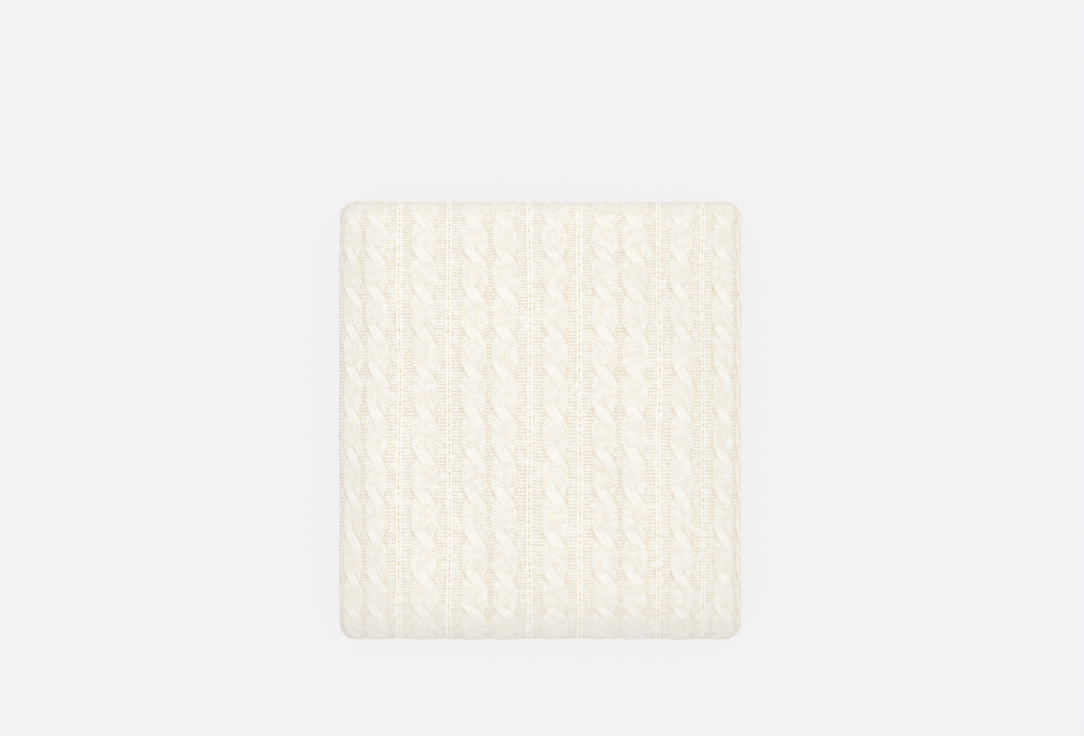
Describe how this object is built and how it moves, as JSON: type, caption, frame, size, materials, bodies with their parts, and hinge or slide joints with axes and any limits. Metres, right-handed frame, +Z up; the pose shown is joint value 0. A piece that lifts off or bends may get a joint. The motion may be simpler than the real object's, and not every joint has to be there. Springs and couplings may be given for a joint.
{
  "type": "folded throw blanket",
  "caption": "Cream cable-knit throw folded to a neat rectangular pad, with ribs and braided cables along it and a blank care label at the back.",
  "frame": {"origin": "under the middle of the folded throw, on the surface it lies on", "axes": "+Z up through the stack; +Y along the strip, from the edge that shows the last fold to the opposite edge; +X across the fold in thirds"},
  "size_m": [0.43, 0.4686, 0.0801],
  "materials": {
    "knit": "matte knitted yarn",
    "label": "satin ribbon",
    "thread": "satin thread"
  },
  "bodies": {
    "lower_half": {"leaf_1_bottom": "knit", "leaf_2_lower_inner": "knit", "fold_outer_front": "knit", "fold_inner_front": "knit", "hem_cast_on": "knit", "hem_bind_off": "knit", "care_label_stitching": "thread"},
    "upper_half": {"leaf_3_upper_inner": "knit", "leaf_4_top": "knit", "fold_back_upper": "knit"},
    "care_label_body": {"care_label": "label"}
  },
  "joints": [
    {"name": "final_fold", "type": "hinge", "parent": "lower_half", "child": "upper_half", "pos_m": [0, -0.19425, 0.04005], "axis": [1, 0, 0], "range_deg": [0, 180], "deforming": ["fold_outer_front", "fold_inner_front"]},
    {"name": "care_label_swing", "type": "hinge", "parent": "lower_half", "child": "care_label_body", "pos_m": [0.12, 0.225, 0.03485], "axis": [1, 0, 0], "range_deg": [0, 85]}
  ]
}
